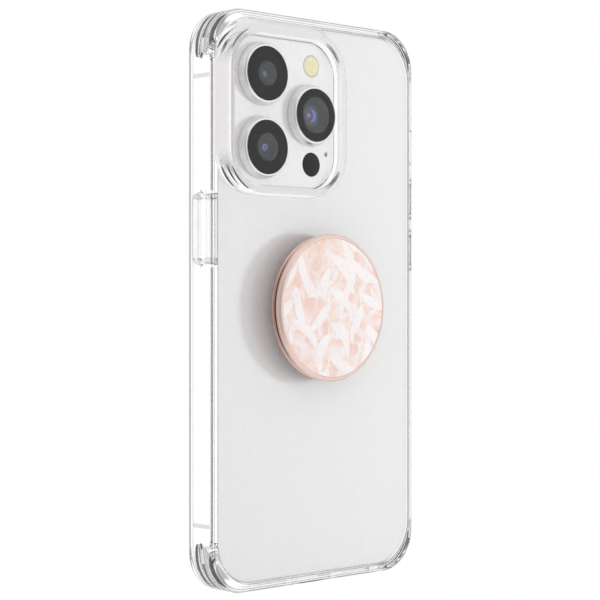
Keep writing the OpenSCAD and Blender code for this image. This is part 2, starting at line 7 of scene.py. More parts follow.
import bmesh
import bpy
import numpy as np
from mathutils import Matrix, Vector

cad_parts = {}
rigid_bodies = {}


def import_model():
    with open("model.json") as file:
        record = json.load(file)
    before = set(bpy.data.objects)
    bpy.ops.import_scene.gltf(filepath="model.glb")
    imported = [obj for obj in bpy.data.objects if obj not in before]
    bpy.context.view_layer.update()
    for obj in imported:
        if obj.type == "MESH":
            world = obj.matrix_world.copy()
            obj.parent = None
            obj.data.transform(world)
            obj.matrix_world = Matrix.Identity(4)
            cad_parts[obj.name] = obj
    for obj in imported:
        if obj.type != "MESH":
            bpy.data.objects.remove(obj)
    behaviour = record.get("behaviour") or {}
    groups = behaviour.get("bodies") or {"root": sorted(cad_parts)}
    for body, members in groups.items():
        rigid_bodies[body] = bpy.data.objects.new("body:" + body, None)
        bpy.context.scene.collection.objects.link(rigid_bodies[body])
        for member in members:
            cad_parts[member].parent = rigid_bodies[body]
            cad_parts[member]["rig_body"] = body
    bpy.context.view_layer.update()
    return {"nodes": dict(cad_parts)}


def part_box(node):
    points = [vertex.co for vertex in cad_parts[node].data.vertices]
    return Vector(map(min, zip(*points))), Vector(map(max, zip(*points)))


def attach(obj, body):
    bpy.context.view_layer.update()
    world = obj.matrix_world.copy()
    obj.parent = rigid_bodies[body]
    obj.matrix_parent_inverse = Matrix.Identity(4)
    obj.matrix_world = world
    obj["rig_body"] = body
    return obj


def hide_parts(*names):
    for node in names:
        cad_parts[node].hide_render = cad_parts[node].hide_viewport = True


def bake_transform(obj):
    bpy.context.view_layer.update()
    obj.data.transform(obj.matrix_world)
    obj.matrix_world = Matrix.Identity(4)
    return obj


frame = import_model()

# Lengths are in millimetres until a mesh, a lamp or the camera is made.
MM = 0.001


# ---------- places, from the frame ----------

def span(*nodes):
    """Lowest and highest corner of some CAD nodes taken together."""
    corners = np.array([[list(corner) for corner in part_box(node)] for node in nodes]) / MM
    return corners[:, 0].min(0), corners[:, 1].max(0)


def middle(*nodes):
    low, high = span(*nodes)
    return (low + high) / 2


def half(*nodes):
    low, high = span(*nodes)
    return (high - low) / 2


XZ = [0, 2]     # of a place in space, as seen from the back
BANDS = ("side_band_power", "side_band_volume", "top_band", "bottom_band")
phone_mid = middle(*BANDS)
phone_half = half(*BANDS)
case_low, case_high = span("case_bumper")
case_half = half("case_bumper")
case_mid = middle("case_bumper")
GAP = 0.05      # between pieces that fit together
HAIR = 0.03     # between faces that would otherwise lie on each other

PHONE_R = 12
CASE_R = 11
CASE_ROUND = 1.5
LIP_COVER = 0.8
CORNERS = [np.array(signs) for signs in ((-1, -1), (-1, 1), (1, -1), (1, 1))]


# ---------- outlines, profiles and skins ----------

class Outline:
    """A rectangle with round corners in two coordinates, which can be drawn at any inset."""

    def __init__(self, half_u, half_v, r, centre=(0, 0), steps=12):
        centres, directions = [], []
        for quarter in range(4):
            corner = math.radians(45 + 90 * quarter)
            sign = np.sign([math.cos(corner), math.sin(corner)])
            for k in range(steps + 1):
                angle = math.radians(90 * (quarter + k / steps))
                centres.append(np.array(centre) + sign * (half_u - r, half_v - r))
                directions.append((math.cos(angle), math.sin(angle)))
        self.centres = np.array(centres, float)
        self.directions = np.array(directions, float)
        self.r = r

    def inset(self, amount):
        return self.centres + (self.r - np.asarray(amount))[..., None] * self.directions


def stadium(half_u, half_v, centre):
    return Outline(half_u, half_v, min(half_u, half_v) - 0.001, centre)


def lay(flat, level, axis):
    """Flat points as points in space, at a level along the axis that they leave out."""
    return np.insert(np.asarray(flat, float), "xyz".index(axis), level, axis=1)


def soften(points, closed=False, steps=4):
    """A profile with rounded corners: each given point is (a, b) or (a, b, radius)."""
    result = []
    for i, point in enumerate(points):
        here = np.array(point[:2], float)
        at_end = not closed and i in (0, len(points) - 1)
        if len(point) < 3 or at_end:
            result.append(here)
            continue
        before, after = (np.array(points[k][:2]) - here for k in (i - 1, (i + 1) % len(points)))
        before, after = before / np.linalg.norm(before), after / np.linalg.norm(after)
        half_angle = math.acos(np.clip(before @ after, -1, 1)) / 2
        inward = (before + after) / np.linalg.norm(before + after)
        pivot = here + inward * point[2] / math.sin(half_angle)
        reach = point[2] / math.tan(half_angle)
        first = here + before * reach - pivot
        last = here + after * reach - pivot
        start = math.atan2(first[1], first[0])
        turn = (math.atan2(last[1], last[0]) - start + math.pi) % (2 * math.pi) - math.pi
        for k in range(steps + 1):
            angle = start + turn * k / steps
            result.append(pivot + point[2] * np.array((math.cos(angle), math.sin(angle))))
    return result


def skin(rings, loop=False):
    """Points and faces over rings of points. A ring of one point is a tip. loop joins last to first."""
    points, faces, starts = [], [], []
    for ring in rings:
        starts.append((len(points), len(ring)))
        points.extend(ring)
    following = starts[1:] + starts[:1] if loop else starts[1:]
    for (a, m), (b, n) in zip(starts, following):
        count = max(m, n)
        for i in range(count):
            j = (i + 1) % count
            if m == 1:
                faces.append((a, b + j, b + i))
            elif n == 1:
                faces.append((a + i, a + j, b))
            else:
                faces.append((a + i, a + j, b + j, b + i))
    if not loop:
        for start, count in (starts[0], starts[-1]):
            if count > 1:
                faces.append(tuple(range(start, start + count)))
    return points, faces


def stack(outline, levels, axis="y", fine=4):
    """A solid of one outline at several (inset, level) steps along an axis, which may be rounded."""
    return skin([lay(outline.inset(inset), level, axis) for inset, level in soften(levels, steps=fine)])


def lathe(profile, place=(0, 0), steps=128, loop=False, fine=4):
    """A profile of (radius, height along +Y) steps, which may be rounded, turned about a place (x, z)."""
    angles = np.linspace(0, 2 * math.pi, steps, endpoint=False)
    circle = np.stack([np.cos(angles), np.sin(angles)], 1)
    rings = []
    for r, height in soften(profile, loop, fine):
        flat = np.array(place) + (circle * r if r > 0 else np.zeros((1, 2)))
        rings.append(lay(flat, height, "y"))
    return skin(rings, loop)


def run(path, profile):
    """A closed profile of (inset, height along Y) carried along a path of (point, outward direction)."""
    rings = []
    for point, outward in path:
        flat = [np.array(point) - np.array(outward) * inset for inset, _ in profile]
        rings.append([(x, height, z) for (x, z), (_, height) in zip(flat, profile)])
    return skin(rings)


# ---------- pieces ----------

def add_object(name, data):
    obj = bpy.data.objects.new(name, data)
    bpy.context.scene.collection.objects.link(obj)
    return obj


def build(name, shapes):
    """A mesh object from shapes of points and faces, with its faces turned outward."""
    shell = bmesh.new()
    for points, faces in shapes:
        corners = [shell.verts.new(Vector([float(c) for c in point]) * MM) for point in points]
        for face in faces:
            shell.faces.new([corners[i] for i in face])
    bmesh.ops.recalc_face_normals(shell, faces=shell.faces)
    mesh = bpy.data.meshes.new(name)
    shell.to_mesh(mesh)
    shell.free()
    return add_object(name, mesh)


def carve(obj, shapes):
    """Cuts the shapes out of an object."""
    cutter = build(obj.name + "_cutter", shapes)
    cut = obj.modifiers.new("cut", "BOOLEAN")
    cut.operation = "DIFFERENCE"
    cut.solver = "EXACT"
    cut.object = cutter
    carved = bpy.data.meshes.new_from_object(obj.evaluated_get(bpy.context.evaluated_depsgraph_get()))
    obj.modifiers.clear()
    obj.data = carved
    bpy.data.objects.remove(cutter)


def add_hollows(obj, shapes):
    """Adds closed hollows inside a solid, as its first faces, which look inward. Returns how many faces."""
    hollow = build(obj.name + "_hollow", shapes)
    joined = bmesh.new()
    joined.from_mesh(hollow.data)
    bmesh.ops.reverse_faces(joined, faces=joined.faces)
    count = len(joined.faces)
    joined.from_mesh(obj.data)
    joined.to_mesh(obj.data)
    joined.free()
    bpy.data.objects.remove(hollow)
    return count


def settle(obj, look, slot, node=None, body="root", angle=32):
    """Shades a finished mesh, gives it its look, and fixes it to its body. slot is not used."""
    obj.data.materials.clear()
    obj.data.materials.append(look.material)
    obj.data.shade_smooth()
    obj.data.set_sharp_from_angle(angle=math.radians(angle))
    even = obj.modifiers.new("even_normals", "WEIGHTED_NORMAL")
    even.keep_sharp = True
    if node:
        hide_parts(node)
    if body:
        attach(obj, body)
    return obj


def piece(name, shapes, look, slot, node=None, body="root", cuts=(), angle=32):
    """A finished piece. node is the CAD node that it replaces, if any, and cuts are taken out of it."""
    obj = build(name, shapes)
    if cuts:
        carve(obj, cuts)
    return settle(obj, look, slot, node, body, angle)


def add_looks(obj, looks, choose, first_faces=()):
    """Gives a piece more looks. choose(place, normal) is the number of a face's look, and 0 is its first one.
    first_faces lists those numbers for the faces that come first in the mesh."""
    for look in looks:
        obj.data.materials.append(look.material)
    given = len(first_faces)
    for k, face in enumerate(obj.data.polygons):
        face.material_index = first_faces[k] if k < given else choose(face.center / MM, face.normal)


# ---------- looks ----------

class Nodes:
    """Short ways to add shader nodes to a tree."""

    def __init__(self, tree):
        self.tree = tree

    def put(self, value, socket):
        """Sets a socket to a value, or links it to an output. A colour may leave out its alpha."""
        if isinstance(value, bpy.types.NodeSocket):
            self.tree.links.new(value, socket)
        else:
            socket.default_value = (*value, 1) if socket.type == "RGBA" and len(value) == 3 else value

    def node(self, kind, inputs=None, **settings):
        node = self.tree.nodes.new("ShaderNode" + kind)
        for key, value in settings.items():
            setattr(node, key, value)
        for key, value in (inputs or {}).items():
            self.put(value, node.inputs[key])
        return node

    def math(self, operation, a, b=0.0, c=0.0):
        return self.node("Math", {0: a, 1: b, 2: c}, operation=operation).outputs[0]

    def vector(self, operation, a, b=(0, 0, 0), output="Vector"):
        return self.node("VectorMath", {0: a, 1: b}, operation=operation).outputs[output]

    def ramp(self, factor, *stops):
        """A colour, or a grey given as one number, between stops of (position, colour)."""
        ramp = self.node("ValToRGB", {"Fac": factor})
        marks = ramp.color_ramp.elements
        while len(marks) < len(stops):
            marks.new(0.5)
        for mark, (position, colour) in zip(marks, stops):
            mark.position = position
            mark.color = (*colour, 1) if isinstance(colour, tuple) else (colour, colour, colour, 1)
        return ramp.outputs["Color"]

    def mix(self, factor, a, b):
        return self.node("Mix", {0: factor, 6: a, 7: b}, data_type="RGBA").outputs[2]


class Look(Nodes):
    """A material made of shader nodes. Texture sizes are in millimetres."""

    def __init__(self, name, **sockets):
        self.material = bpy.data.materials.new(name)
        self.material.use_nodes = True
        super().__init__(self.material.node_tree)
        self.shader = self.tree.nodes["Principled BSDF"]
        for key, value in sockets.items():
            self.put(value, self.shader.inputs[key.replace("_", " ").title().replace("Ior", "IOR")])
        self.coordinates = None

    def place(self, size=1.0, stretch=(1, 1, 1)):
        """Object coordinates, scaled so that a texture's unit is size millimetres."""
        if self.coordinates is None:
            self.coordinates = self.node("TexCoord").outputs["Object"]
        scale = [1 / (size * MM * part) for part in stretch]
        return self.node("Mapping", {"Vector": self.coordinates, "Scale": scale}).outputs["Vector"]

    def noise(self, size, stretch=(1, 1, 1), detail=3, roughness=0.55, distortion=0):
        return self.node("TexNoise", {
            "Vector": self.place(size, stretch), "Scale": 1, "Detail": detail,
            "Roughness": roughness, "Distortion": distortion}).outputs["Fac"]

    def cells(self, size):
        """Distance from the nearest of many scattered points that are about size apart."""
        return self.node("TexVoronoi", {"Vector": self.place(size), "Scale": 1}).outputs["Distance"]

    def from_axis(self, place):
        """Distance in millimetres from an axis along Y through (x, z)."""
        offset = self.vector("ADD", self.place(), (-place[0], 0, -place[1]))
        return self.vector("LENGTH", self.vector("MULTIPLY", offset, (1, 0, 1)), output="Value")

    def from_height(self, z):
        """Distance in millimetres above or below a height."""
        height = self.node("SeparateXYZ", {0: self.place()}).outputs["Z"]
        return self.math("ABSOLUTE", self.math("SUBTRACT", height, z))

    def link(self, output, socket):
        self.put(output, self.shader.inputs[socket])
        return self

    def colour(self, factor, *stops):
        return self.link(self.ramp(factor, *stops), "Base Color")

    def mottle(self, factor, dark, light):
        """Colour that wanders between two tints."""
        return self.colour(factor, (0.3, dark), (0.7, light))

    def roughen(self, factor, low, high):
        """Roughness that wanders between two values."""
        return self.link(self.ramp(factor, (0.3, low), (0.7, high)), "Roughness")

    def bump(self, height, depth):
        """Raised and sunk relief. depth is the height of the relief in millimetres."""
        relief = self.node("Bump", {"Height": height, "Distance": depth * MM, "Strength": 1.0})
        return self.link(relief.outputs["Normal"], "Normal")

    def show(self, shader):
        """Sends a shader to the material's output."""
        self.put(shader, self.tree.nodes["Material Output"].inputs["Surface"])
        return self

    def clear_to_lamps(self):
        """Lets lamp light and soft light through, so that what is behind the clear plastic is lit."""
        open_way = self.node("BsdfTransparent", {"Color": (0.97, 0.97, 0.97)}).outputs[0]
        path = self.node("LightPath").outputs
        shader = self.shader.outputs[0]
        for kind in ("Is Shadow Ray", "Is Diffuse Ray"):
            shader = self.node("MixShader", {0: path[kind], 1: shader, 2: open_way}).outputs[0]
        return self.show(shader)


def glass(name, tint, roughness, ior, ripple, depth, detail=1):
    """Clear glass or plastic with faint ripples. ripple and depth are their length and height."""
    look = Look(name, base_color=tint, roughness=roughness, ior=ior, transmission_weight=1.0)
    look.bump(look.noise(ripple, detail=detail), depth)
    return look.clear_to_lamps()


def joined_plastic(name, place=0.0, reach=1e3, ior=1.04, marks=(0.46, 0.62)):
    """Clear plastic of a soft web between two pieces, which hardly bends light unless ior says so.
    Further than reach from place along Z, where the web bends, it is crinkled into dark flecks."""
    look = Look(name, roughness=0.05, ior=ior, transmission_weight=1.0)
    bent = look.ramp(look.math("DIVIDE", look.from_height(place), reach * 2), (0.49, 0.0), (0.53, 1.0))
    flecks = look.noise(0.7, detail=4, roughness=0.75, distortion=1.5)
    look.colour(look.math("MULTIPLY", flecks, bent),
                (marks[0], (0.92, 0.92, 0.925)), (marks[1], (0.10, 0.10, 0.105)))
    return look.clear_to_lamps()


def pocket_side(name, tint):
    """Side of an air pocket in the case corners: clear plastic tinted grey as painted shade."""
    look = Look(name, roughness=0.05, ior=1.5, transmission_weight=1.0)
    look.mottle(look.noise(3), (tint, tint, tint), (tint * 1.25, tint * 1.25, tint * 1.25))
    return look.clear_to_lamps()


def frosted_strip(name, mid_z, reach):
    """Clear plastic with a grained strip along Z, which fades out before it is reach from its middle."""
    look = Look(name, base_color=(1.0, 1.0, 1.0), ior=1.3)
    share = look.math("DIVIDE", look.from_height(mid_z), reach)
    look.link(look.ramp(share, (0.55, 0.0), (0.80, 1.0)), "Transmission Weight")
    look.link(look.ramp(share, (0.55, 0.32), (0.80, 0.02)), "Roughness")
    grain = look.math("MULTIPLY", look.cells(0.6), look.ramp(share, (0.5, 1.0), (0.7, 0.0)))
    return look.bump(grain, 0.05).clear_to_lamps()


def metal(name, colour, low, high, brush=(1, 1, 1), grain=0.25, metallic=1.0):
    """Polished or brushed metal, with fine scratches along one direction and faint handling marks."""
    look = Look(name, metallic=metallic)
    scratches = look.noise(grain, brush, detail=4)
    look.mottle(look.noise(6), tuple(c * 0.93 for c in colour), colour)
    return look.roughen(scratches, low, high).bump(scratches, 0.001)


def moulded(name, dark, light, low, high, grain=0.3, depth=0.004, **sockets):
    """Moulded plastic or rubber: mottled colour, uneven gloss and a fine spark-eroded grain."""
    look = Look(name, **sockets)
    look.mottle(look.noise(4, detail=4), dark, light)
    look.roughen(look.noise(2.2), low, high)
    return look.bump(look.noise(grain, detail=4), depth)


def frosted_glass():
    """White glass etched to a fine, even grain."""
    look = Look("rear_glass_frost", specular_ior_level=0.5)
    grain = look.noise(0.16, detail=6, roughness=0.75)
    look.colour(look.noise(0.5, detail=5), (0.32, (0.80, 0.80, 0.802)), (0.68, (0.85, 0.85, 0.852)))
    return look.roughen(grain, 0.38, 0.52).bump(grain, 0.006)


def plateau_glass():
    look = Look("plateau_gloss", coat_weight=0.6, coat_roughness=0.08)
    look.mottle(look.noise(1.5, detail=5), (0.78, 0.78, 0.782), (0.82, 0.82, 0.822))
    return look.roughen(look.noise(0.2, detail=5), 0.22, 0.32)


def painted_reflection_lens(name, place, r, tint):
    """Inner lens with painted reflections of its coated glass: a pale glint in the middle and a coloured ring
    round a dark centre.
    """
    look = Look(name, roughness=0.05, ior=1.5)
    share = look.math("DIVIDE", look.from_axis(place), r)
    share = look.math("ADD", share, look.math("MULTIPLY", look.noise(0.5), 0.06))
    dark = (0.012, 0.012, 0.02)
    # painted reflections: a pale glint in the middle and a coloured ring round the dark centre
    return look.colour(share, (0.06, tuple(c * 0.5 + 0.15 for c in tint)), (0.20, dark), (0.42, dark),
                       (0.54, tint), (0.70, tint), (0.86, dark))


def wide_painted_reflection_lens(name, place, blue, violet):
    """Inner lens with painted reflections of its coated glass: a blue crescent on one side and a violet spot on
    the other.
    """
    look = Look(name, roughness=0.05, ior=1.5)

    def disc(shift, r, blur):
        share = look.math("DIVIDE", look.from_axis((place[0] + shift, place[1])), r * 2)
        return look.ramp(share, (0.5 - blur, 1.0), (0.5 + blur, 0.0))

    # painted reflections: a blue crescent and a violet spot
    rest = look.math("SUBTRACT", 1.0, disc(1.6, 1.85, 0.05))
    crescent = look.math("MULTIPLY", disc(0.45, 1.75, 0.05), rest)
    shade = look.mix(crescent, (0.015, 0.013, 0.03), blue)
    look.link(look.mix(disc(1.35, 0.6, 0.22), shade, violet), "Base Color")
    return look.roughen(look.noise(0.8), 0.04, 0.08)


def flash_lens():
    """A moulded lens of warm cells, with a browner rim."""
    look = Look("flash_fresnel_lens", roughness=0.18, coat_weight=0.5, coat_roughness=0.05,
                subsurface_weight=0.15)
    cells = look.cells(1.3)
    field = look.ramp(cells, (0.05, (0.86, 0.83, 0.36)), (0.4, (0.90, 0.76, 0.46)), (0.8, (0.88, 0.84, 0.62)))
    share = look.math("DIVIDE", look.from_axis(middle("flash_window")[XZ]), half("flash_window")[0])
    rim = look.ramp(share, (0.84, 0.0), (0.97, 1.0))
    return look.link(look.mix(rim, field, (0.62, 0.54, 0.50)), "Base Color").bump(cells, 0.15)


def pearl_ground():
    """Mother-of-pearl: blush patches that flow into a cool white."""
    look = Look("blush_pearl", coat_weight=0.8, coat_roughness=0.06, sheen_weight=0.1)
    flow = look.noise(6, detail=3, distortion=1.6)
    blush = look.ramp(look.noise(3.2, detail=2, distortion=0.8),
                      (0.35, (0.80, 0.57, 0.50)), (0.62, (0.86, 0.71, 0.65)))
    look.link(look.mix(look.ramp(flow, (0.46, 0.0), (0.66, 1.0)), blush, (0.84, 0.79, 0.81)), "Base Color")
    return look.roughen(look.noise(1.5), 0.18, 0.34).bump(flow, 0.02)


def leaf_print():
    look = Look("leaf_print_white", coat_weight=0.8, coat_roughness=0.06)
    look.colour(look.noise(3.5, detail=2, distortion=0.8), (0.30, (0.83, 0.765, 0.76)),
                (0.48, (0.855, 0.815, 0.81)), (0.7, (0.875, 0.84, 0.845)))
    return look.roughen(look.noise(1.5), 0.2, 0.32)


def dark_display():
    look = Look("display_off")
    look.colour(look.cells(0.12), (0.1, (0.006, 0.006, 0.008)), (0.9, (0.011, 0.011, 0.014)))
    return look.roughen(look.noise(9), 0.2, 0.3)


def sound_mesh():
    look = Look("sound_mesh", metallic=0.6)
    cells = look.cells(0.22)
    look.colour(cells, (0.2, (0.12, 0.12, 0.125)), (0.7, (0.30, 0.30, 0.31)))
    return look.roughen(look.noise(0.8), 0.4, 0.6).bump(cells, 0.03)


CLEAR = (0.995, 0.998, 1.0)
case_clear = glass("case_clear", CLEAR, 0.015, 1.5, 3, 0.002, detail=2)
panel_clear = glass("panel_clear", CLEAR, 0.03, 1.5, 3, 0.004, detail=2)
wall_join = joined_plastic("case_wall_join")
# painted shade: grey-tinted clear plastic beside the pockets' dark sides and along lines on the rear edge
dim_painted_shade = pocket_side("painted_shade_dim", 0.30)
# painted shade: opaque near-black on the sides of the air pockets, for the dark lines that the clear plastic
# shows there
dark_painted_shade = moulded("painted_shade_pocket_dark", (0.08, 0.08, 0.082), (0.14, 0.14, 0.142), 0.3, 0.4,
                      specular_ior_level=0.2)
# painted shade: a grey band along the panel's glued side, which draws the dark line at the join
seam_painted_shade = moulded("case_seam", (0.34, 0.34, 0.342), (0.40, 0.40, 0.402), 0.4, 0.5, specular_ior_level=0.2)
guard_frost = frosted_strip("guard_frost", middle("camera_plateau")[2], 20.0)

steel = metal("band_polish", (0.90, 0.905, 0.91), 0.10, 0.20, brush=(1, 1, 14))
break_look = moulded("break_polymer", (0.92, 0.922, 0.925), (0.96, 0.962, 0.965), 0.25, 0.4)
frost = frosted_glass()
plateau_look = plateau_glass()
lens_polish = metal("lens_ring_polish", (0.93, 0.93, 0.935), 0.10, 0.18)
# satin sides: rougher steel, and a darker tint that is painted shade
lens_satin_painted_shade = metal("lens_ring_satin_painted_shade", (0.86, 0.862, 0.868), 0.30, 0.42)
cover_glass = glass("lens_cover_glass", (0.95, 0.96, 0.97), 0.01, 1.3, 5, 0.0005)
window_glass = glass("lens_window_glass", (0.96, 0.96, 0.97), 0.015, 1.38, 5, 0.0004)
lens_mask = moulded("lens_mask_ink", (0.004, 0.004, 0.005), (0.007, 0.007, 0.008), 0.3, 0.4,
                    specular_ior_level=0.0)
sensor_look = moulded("sensor_window_black", (0.004, 0.004, 0.005), (0.009, 0.009, 0.010), 0.04, 0.08,
                      depth=0.0005, specular_ior_level=0.36)
flash_look = flash_lens()
mesh_look = sound_mesh()
screen_look = glass("screen_glass", (0.82, 0.84, 0.86), 0.01, 1.52, 14, 0.0008)
display_look = dark_display()
border_ink = moulded("screen_border_ink", (0.004, 0.004, 0.005), (0.008, 0.008, 0.009), 0.3, 0.45)

rose_metal = metal("rose_gold_anodised", (0.87, 0.675, 0.605), 0.24, 0.34, grain=0.12, metallic=0.75)
# a darker copy of the rose gold: painted shade on the lower ring under the rim
rose_gold_painted_shade = metal("rose_gold_lower_painted_shade", (0.70, 0.49, 0.43), 0.22, 0.32, grain=0.12)
grip_plastic = moulded("grip_moulding_white", (0.80, 0.78, 0.77), (0.86, 0.84, 0.83), 0.35, 0.5)
pad_foam = moulded("adhesive_pad_foam", (0.70, 0.69, 0.68), (0.80, 0.79, 0.78), 0.7, 0.9,
                   grain=0.4, depth=0.03)
# rose-brown elastomer, darkened further as painted shade for the groove under the rim
elastomer_with_painted_shade = moulded("accordion_elastomer_painted_shade", (0.48, 0.37, 0.34), (0.56, 0.44, 0.41), 0.45, 0.6,
                    grain=0.2, depth=0.008, subsurface_weight=0.2)
pearl = pearl_ground()
leaf_look = leaf_print()


def finish_inner_nodes():
    """Gives each CAD node that stays in view, or inside, its own finish."""
    black = moulded("module_black", (0.012, 0.012, 0.013), (0.025, 0.025, 0.027), 0.4, 0.6)
    plate = metal("frame_aluminium", (0.78, 0.79, 0.80), 0.28, 0.42, brush=(1, 1, 10))
    board = moulded("board_green", (0.015, 0.09, 0.05), (0.03, 0.14, 0.07), 0.3, 0.5)
    board.colour(board.cells(2.4), (0.2, (0.015, 0.08, 0.045)), (0.8, (0.04, 0.16, 0.09)))
    looks = {
        "midframe_plate": plate,
        "charging_port": plate,
        "logic_board": board,
        "oled_panel": display_look,
        "grip_bayonet_foot": grip_plastic,
        "glass_gaskets": moulded("adhesive_seal_grey", (0.26, 0.26, 0.265), (0.34, 0.34, 0.345), 0.6, 0.8),
        "shield_cans": metal("shield_tin", (0.70, 0.70, 0.69), 0.25, 0.4),
        "haptic_mass": metal("haptic_steel", (0.55, 0.55, 0.56), 0.3, 0.45),
        "charging_coil": metal("coil_copper", (0.80, 0.42, 0.25), 0.25, 0.4, grain=0.4),
        "magnet_ring": metal("magnet_nickel", (0.72, 0.70, 0.66), 0.2, 0.32),
        "screws": metal("screw_steel", (0.66, 0.66, 0.67), 0.25, 0.35),
        "battery": moulded("battery_wrap", (0.03, 0.03, 0.033), (0.05, 0.05, 0.055), 0.3, 0.5),
        "button_switches": moulded("flex_amber", (0.45, 0.22, 0.05), (0.60, 0.32, 0.09), 0.3, 0.5),
        "flash_led": moulded("flash_phosphor", (0.85, 0.72, 0.15), (0.95, 0.85, 0.25), 0.5, 0.7),
        "microphones": moulded("microphone_mesh", (0.22, 0.22, 0.225), (0.34, 0.34, 0.345), 0.5, 0.7,
                               grain=0.15)}
    for node in ("camera_housings", "depth_sensor_module", "front_camera_module", "earpiece_speaker",
                 "bottom_speaker", "haptic_housing"):
        looks[node] = black
    for node, look in looks.items():
        for place in frame["nodes"][node].material_slots:
            place.material = look.material


# ---------- the case ----------

case_outline = Outline(*case_half[XZ], CASE_R, case_mid[XZ], steps=20)
phone_outline = Outline(*phone_half[XZ], PHONE_R, phone_mid[XZ], steps=20)
front_y = case_low[1]
back_y = case_high[1]
screen_y = span("front_glass")[0][1]
seam = 0.06

# each pocket round a case corner, in mm and degrees: depths below the corner's outside, heights from the
# phone's middle, angles of its ends, lengths of its tapers, the angle from which its outer side is painted dark
# shade, and how far round the pocket that painted shade reaches
POCKETS = (((1.75, 0.5), (-2.0, 0.2), (-13, 94), (10, 60), -20, 42),
           ((1.75, 0.5), (0.4, 2.1), (-9, 94), (10, 60), 14, 42),
           ((1.45, 0.95), (3.0, 3.8), (2, 62), (30, 40), -1, 200))
TURN = 56           # steps round the corner
AROUND = 24         # points round the pocket
# the dark side and the dim stretch are painted shade
PAINTED_SHADE_TILT = 20      # the middle of the dark side, below the corner's own radius
DIM_SHADE_MARGIN = 15     # the dim stretch beyond each edge of the dark side


def case_bumper():
    """The soft band and its lip, cut for keys and ports, with air pockets in its corners."""
    outer = soften([(1.7, back_y), (0, back_y, CASE_ROUND), (0, front_y, CASE_ROUND), (1.9, front_y)],
                   steps=7)
    inner = soften([(0.3, front_y), (LIP_COVER, front_y, 0.3), (LIP_COVER, screen_y - HAIR),
                    (-GAP, screen_y - HAIR), (-GAP, back_y - seam), (-GAP - seam, back_y)])
    rings = [lay(case_outline.inset(d), y, "y") for d, y in outer]
    rings += [lay(phone_outline.inset(d), y, "y") for d, y in inner]
    bumper = build("clear_bumper", [skin(rings, loop=True)])
    carve(bumper, [*key_windows(), *bottom_cutouts()])
    pockets, sides = [], []
    for signs in CORNERS:
        centre = case_mid[XZ] + signs * (case_half[XZ] - CASE_R)
        for depths, heights, ends, tapers, shade_from, wide in POCKETS:
            levels = [phone_mid[1] + y for y in heights]
            pockets.append(arc_pocket(centre, signs, [CASE_R - d for d in depths], levels, ends, tapers))
            sides += pocket_shade_faces(ends, shade_from, wide)
    add_hollows(bumper, pockets)
    settle(bumper, case_clear, "clear_case", "case_bumper")
    # the pockets' sides and lines on the rear edge get painted shade
    add_looks(bumper, (dark_painted_shade, dim_painted_shade, wall_join), bumper_side, sides)


def bumper_side(place, normal):
    """Number of a face's look: 3 for the walls of the openings and 2 for lines of painted dim shade on the rear
    edge.
    """
    x, y, z = place
    furthest_key, furthest_port, edge = 62, 23, 1.6
    in_side = abs(x) > phone_half[0] + 0.1 and abs(normal.x) < 0.6 and abs(z - phone_mid[2]) < furthest_key
    in_end = z < phone_mid[2] - phone_half[2] - 0.1 and abs(normal.z) < 0.6 and abs(x) < furthest_port
    if (in_side or in_end) and front_y + edge < y < back_y - edge:
        return 3
    # painted shade: faces at two slopes of the rounded rear edge are tinted grey as dim lines
    on_painted_line = 0.60 < normal.y < 0.80 or 0.91 < normal.y < 0.97
    return 2 if on_painted_line and y > back_y - CASE_ROUND else 0


def pocket_angle(ends, k):
    return ends[0] + (ends[1] - ends[0]) * (k / TURN) ** 1.3


def pocket_shade_faces(ends, shade_from, wide):
    """Number of the look of each face of a pocket: 1 is painted dark shade, 2 is painted dim shade and 0 is
    clear.
    """
    for k in range(TURN):
        for i in range(AROUND):
            off = abs((360 * (i + 0.5) / AROUND + PAINTED_SHADE_TILT + 180) % 360 - 180)
            level = 1 if off < wide else 2 if off < wide + DIM_SHADE_MARGIN else 0
            yield level if pocket_angle(ends, k) > shade_from else 0


def arc_pocket(centre, signs, radii, heights, ends, tapers):
    """A long air pocket round one corner, which narrows to a point at both ends."""
    mid_r, mid_y = sum(radii) / 2, sum(heights) / 2
    half_r, half_y = abs(radii[1] - radii[0]) / 2, abs(heights[1] - heights[0]) / 2
    rings = []
    for k in range(TURN + 1):
        angle = pocket_angle(ends, k)
        first = min(1, (angle - ends[0]) / tapers[0])
        last = min(1, max(0, (ends[1] - angle) / tapers[1]))
        fill = math.sqrt(max(0, 1 - (1 - first) ** 2)) * last ** 0.6
        turn = math.radians(angle)
        spot = np.array([signs[0] * math.cos(max(0, turn)), signs[1] * math.sin(turn)])
        around = np.linspace(0, 2 * math.pi, AROUND, endpoint=False) if fill > 1e-6 else [0]
        ring = []
        for a in around:
            r = mid_r + half_r * min(1, fill * 1.3) * math.cos(a) * (fill > 1e-6)
            x, z = centre + spot * r
            ring.append((x, mid_y + half_y * fill * math.sin(a), z))
        rings.append(ring)
    return skin(rings)


def side_opening(side, outline):
    """A cutter through one long wall of the case, flared towards the outside."""
    wall_in = phone_half[0] - 1
    wall_out = case_half[0]
    steps = [(0, wall_in), (0, wall_out - 0.5), (-0.4, wall_out + 0.3)]
    return stack(outline, [(inset, side * x) for inset, x in steps], "x")


KEYS = ("power", "volume_up", "volume_down")


def key_windows():
    clearance = 0.3
    for key in KEYS:
        size, place = half(f"case_{key}_cover"), middle(f"case_{key}_cover")
        outline = stadium(size[1] + clearance, size[2] + clearance, place[1:])
        yield side_opening(np.sign(place[0]), outline)
    switch_window = stadium(2.7, 5, (phone_mid[1], middle("mute_switch")[2]))
    yield side_opening(-1, switch_window)


SPEAKER_X = 15.8


